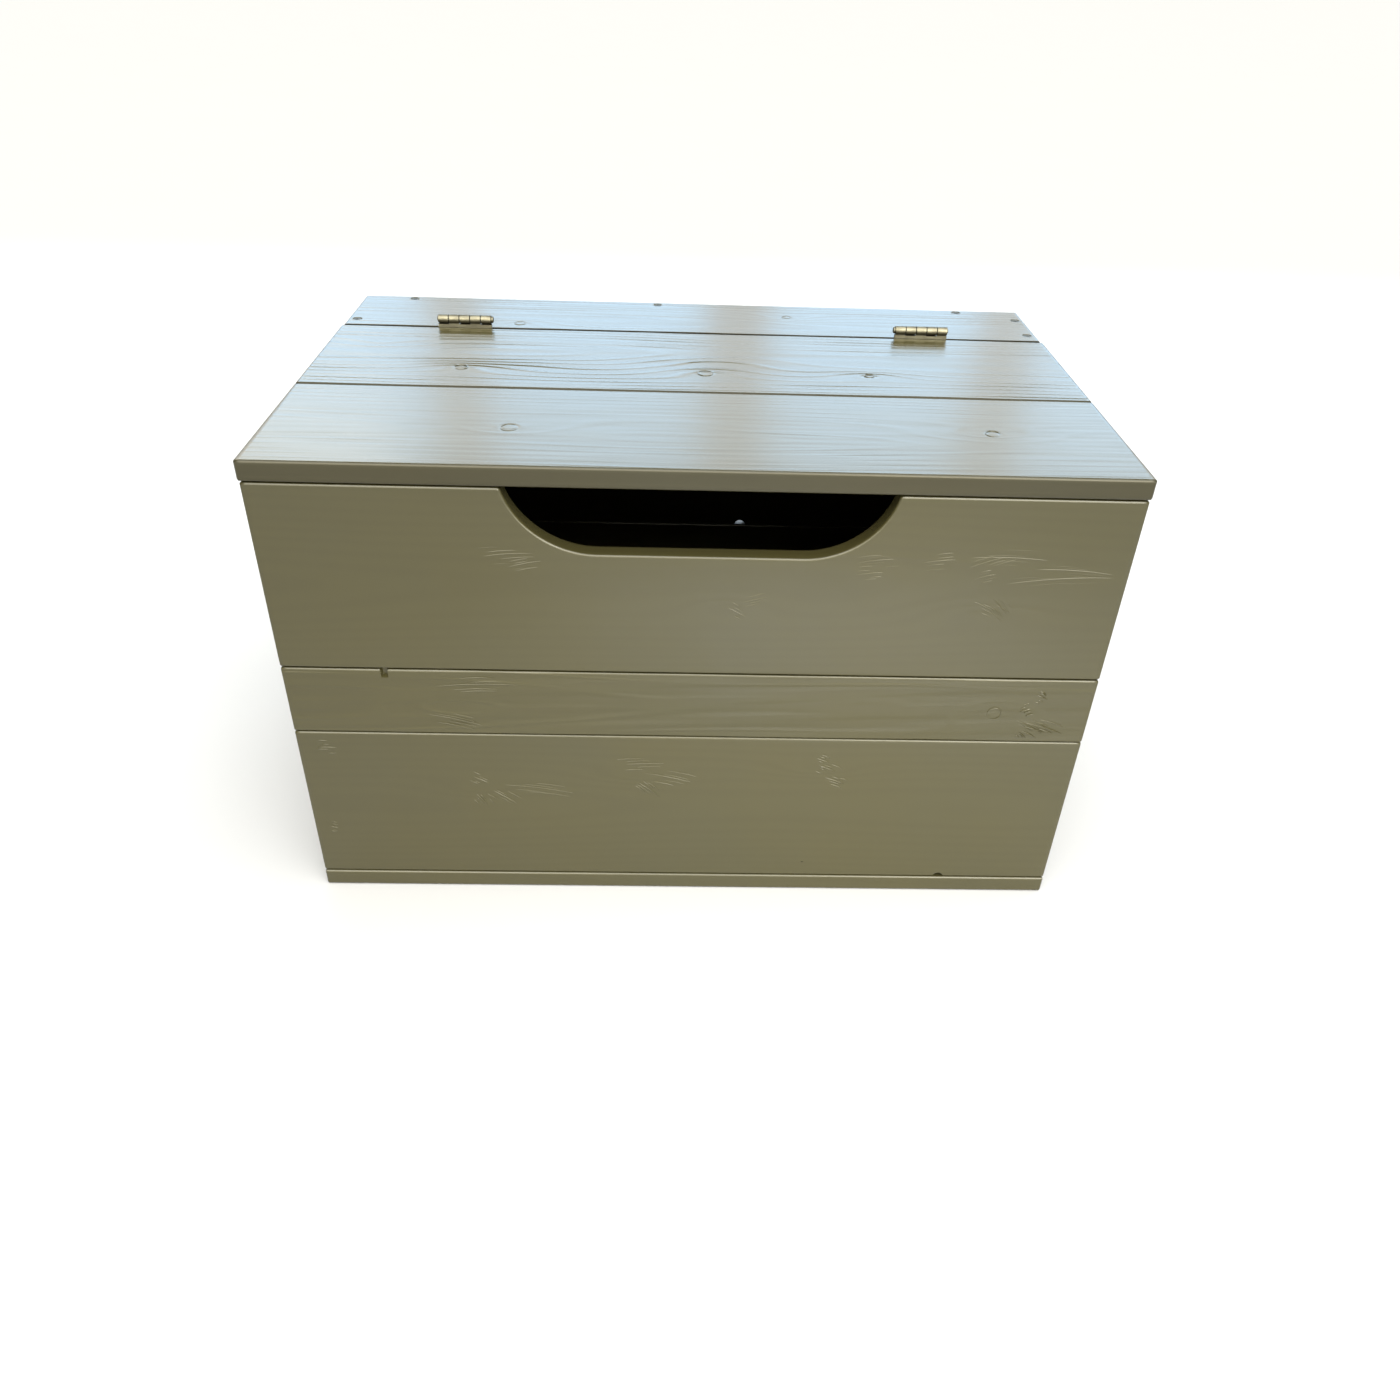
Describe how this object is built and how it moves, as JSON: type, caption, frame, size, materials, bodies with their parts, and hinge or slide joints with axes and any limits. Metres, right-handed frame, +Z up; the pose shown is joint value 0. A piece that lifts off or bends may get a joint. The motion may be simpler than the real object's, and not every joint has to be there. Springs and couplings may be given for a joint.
{
  "type": "toy chest",
  "caption": "Rectangular painted wooden toy chest with a hand cut-out in the front and a hinged board lid in front of a fixed rear rail.",
  "frame": {"origin": "middle of the underside of the base", "axes": "+X to the right of someone facing the front, along the length; +Y from the front to the back; +Z up"},
  "size_m": [0.802, 0.504, 0.515],
  "materials": {
    "painted_wood": "satin taupe paint over planed softwood, grain and knots showing through",
    "painted_screw": "countersunk steel screws under the same paint",
    "hinge_brass": "pale brass-plated steel, lightly worn",
    "zinc_screw": "zinc-plated"
  },
  "bodies": {
    "chest": {"back_left_batten": "painted_wood", "back_lower_board": "painted_wood", "back_middle_board": "painted_wood", "back_right_batten": "painted_wood", "back_upper_board": "painted_wood", "base_front_board": "painted_wood", "base_middle_board": "painted_wood", "base_rear_board": "painted_wood", "base_screws": "zinc_screw", "corner_screws": "zinc_screw", "front_left_batten": "painted_wood", "front_lower_board": "painted_wood", "front_middle_board": "painted_wood", "front_right_batten": "painted_wood", "front_upper_board": "painted_wood", "left_hinge_pin": "hinge_brass", "left_hinge_rail_leaf": "hinge_brass", "left_lower_board": "painted_wood", "left_middle_board": "painted_wood", "left_upper_board": "painted_wood", "rail_hinge_screws": "hinge_brass", "rail_screws": "painted_screw", "rear_rail": "painted_wood", "right_hinge_rail_leaf": "hinge_brass", "right_lower_board": "painted_wood", "right_middle_board": "painted_wood", "right_upper_board": "painted_wood"},
    "lid": {"lid_front_board": "painted_wood", "lid_rear_board": "painted_wood", "left_lid_batten": "painted_wood", "right_lid_batten": "painted_wood", "left_hinge_lid_leaf": "hinge_brass", "right_hinge_lid_leaf": "hinge_brass", "right_hinge_pin": "hinge_brass", "lid_batten_screws": "zinc_screw", "lid_hinge_screws": "hinge_brass"}
  },
  "joints": [
    {"name": "lid_hinge", "type": "hinge", "parent": "chest", "child": "lid", "pos_m": [0, 0.13325, 0.5105], "axis": [-1, 0, 0], "range_deg": [0, 188]}
  ]
}
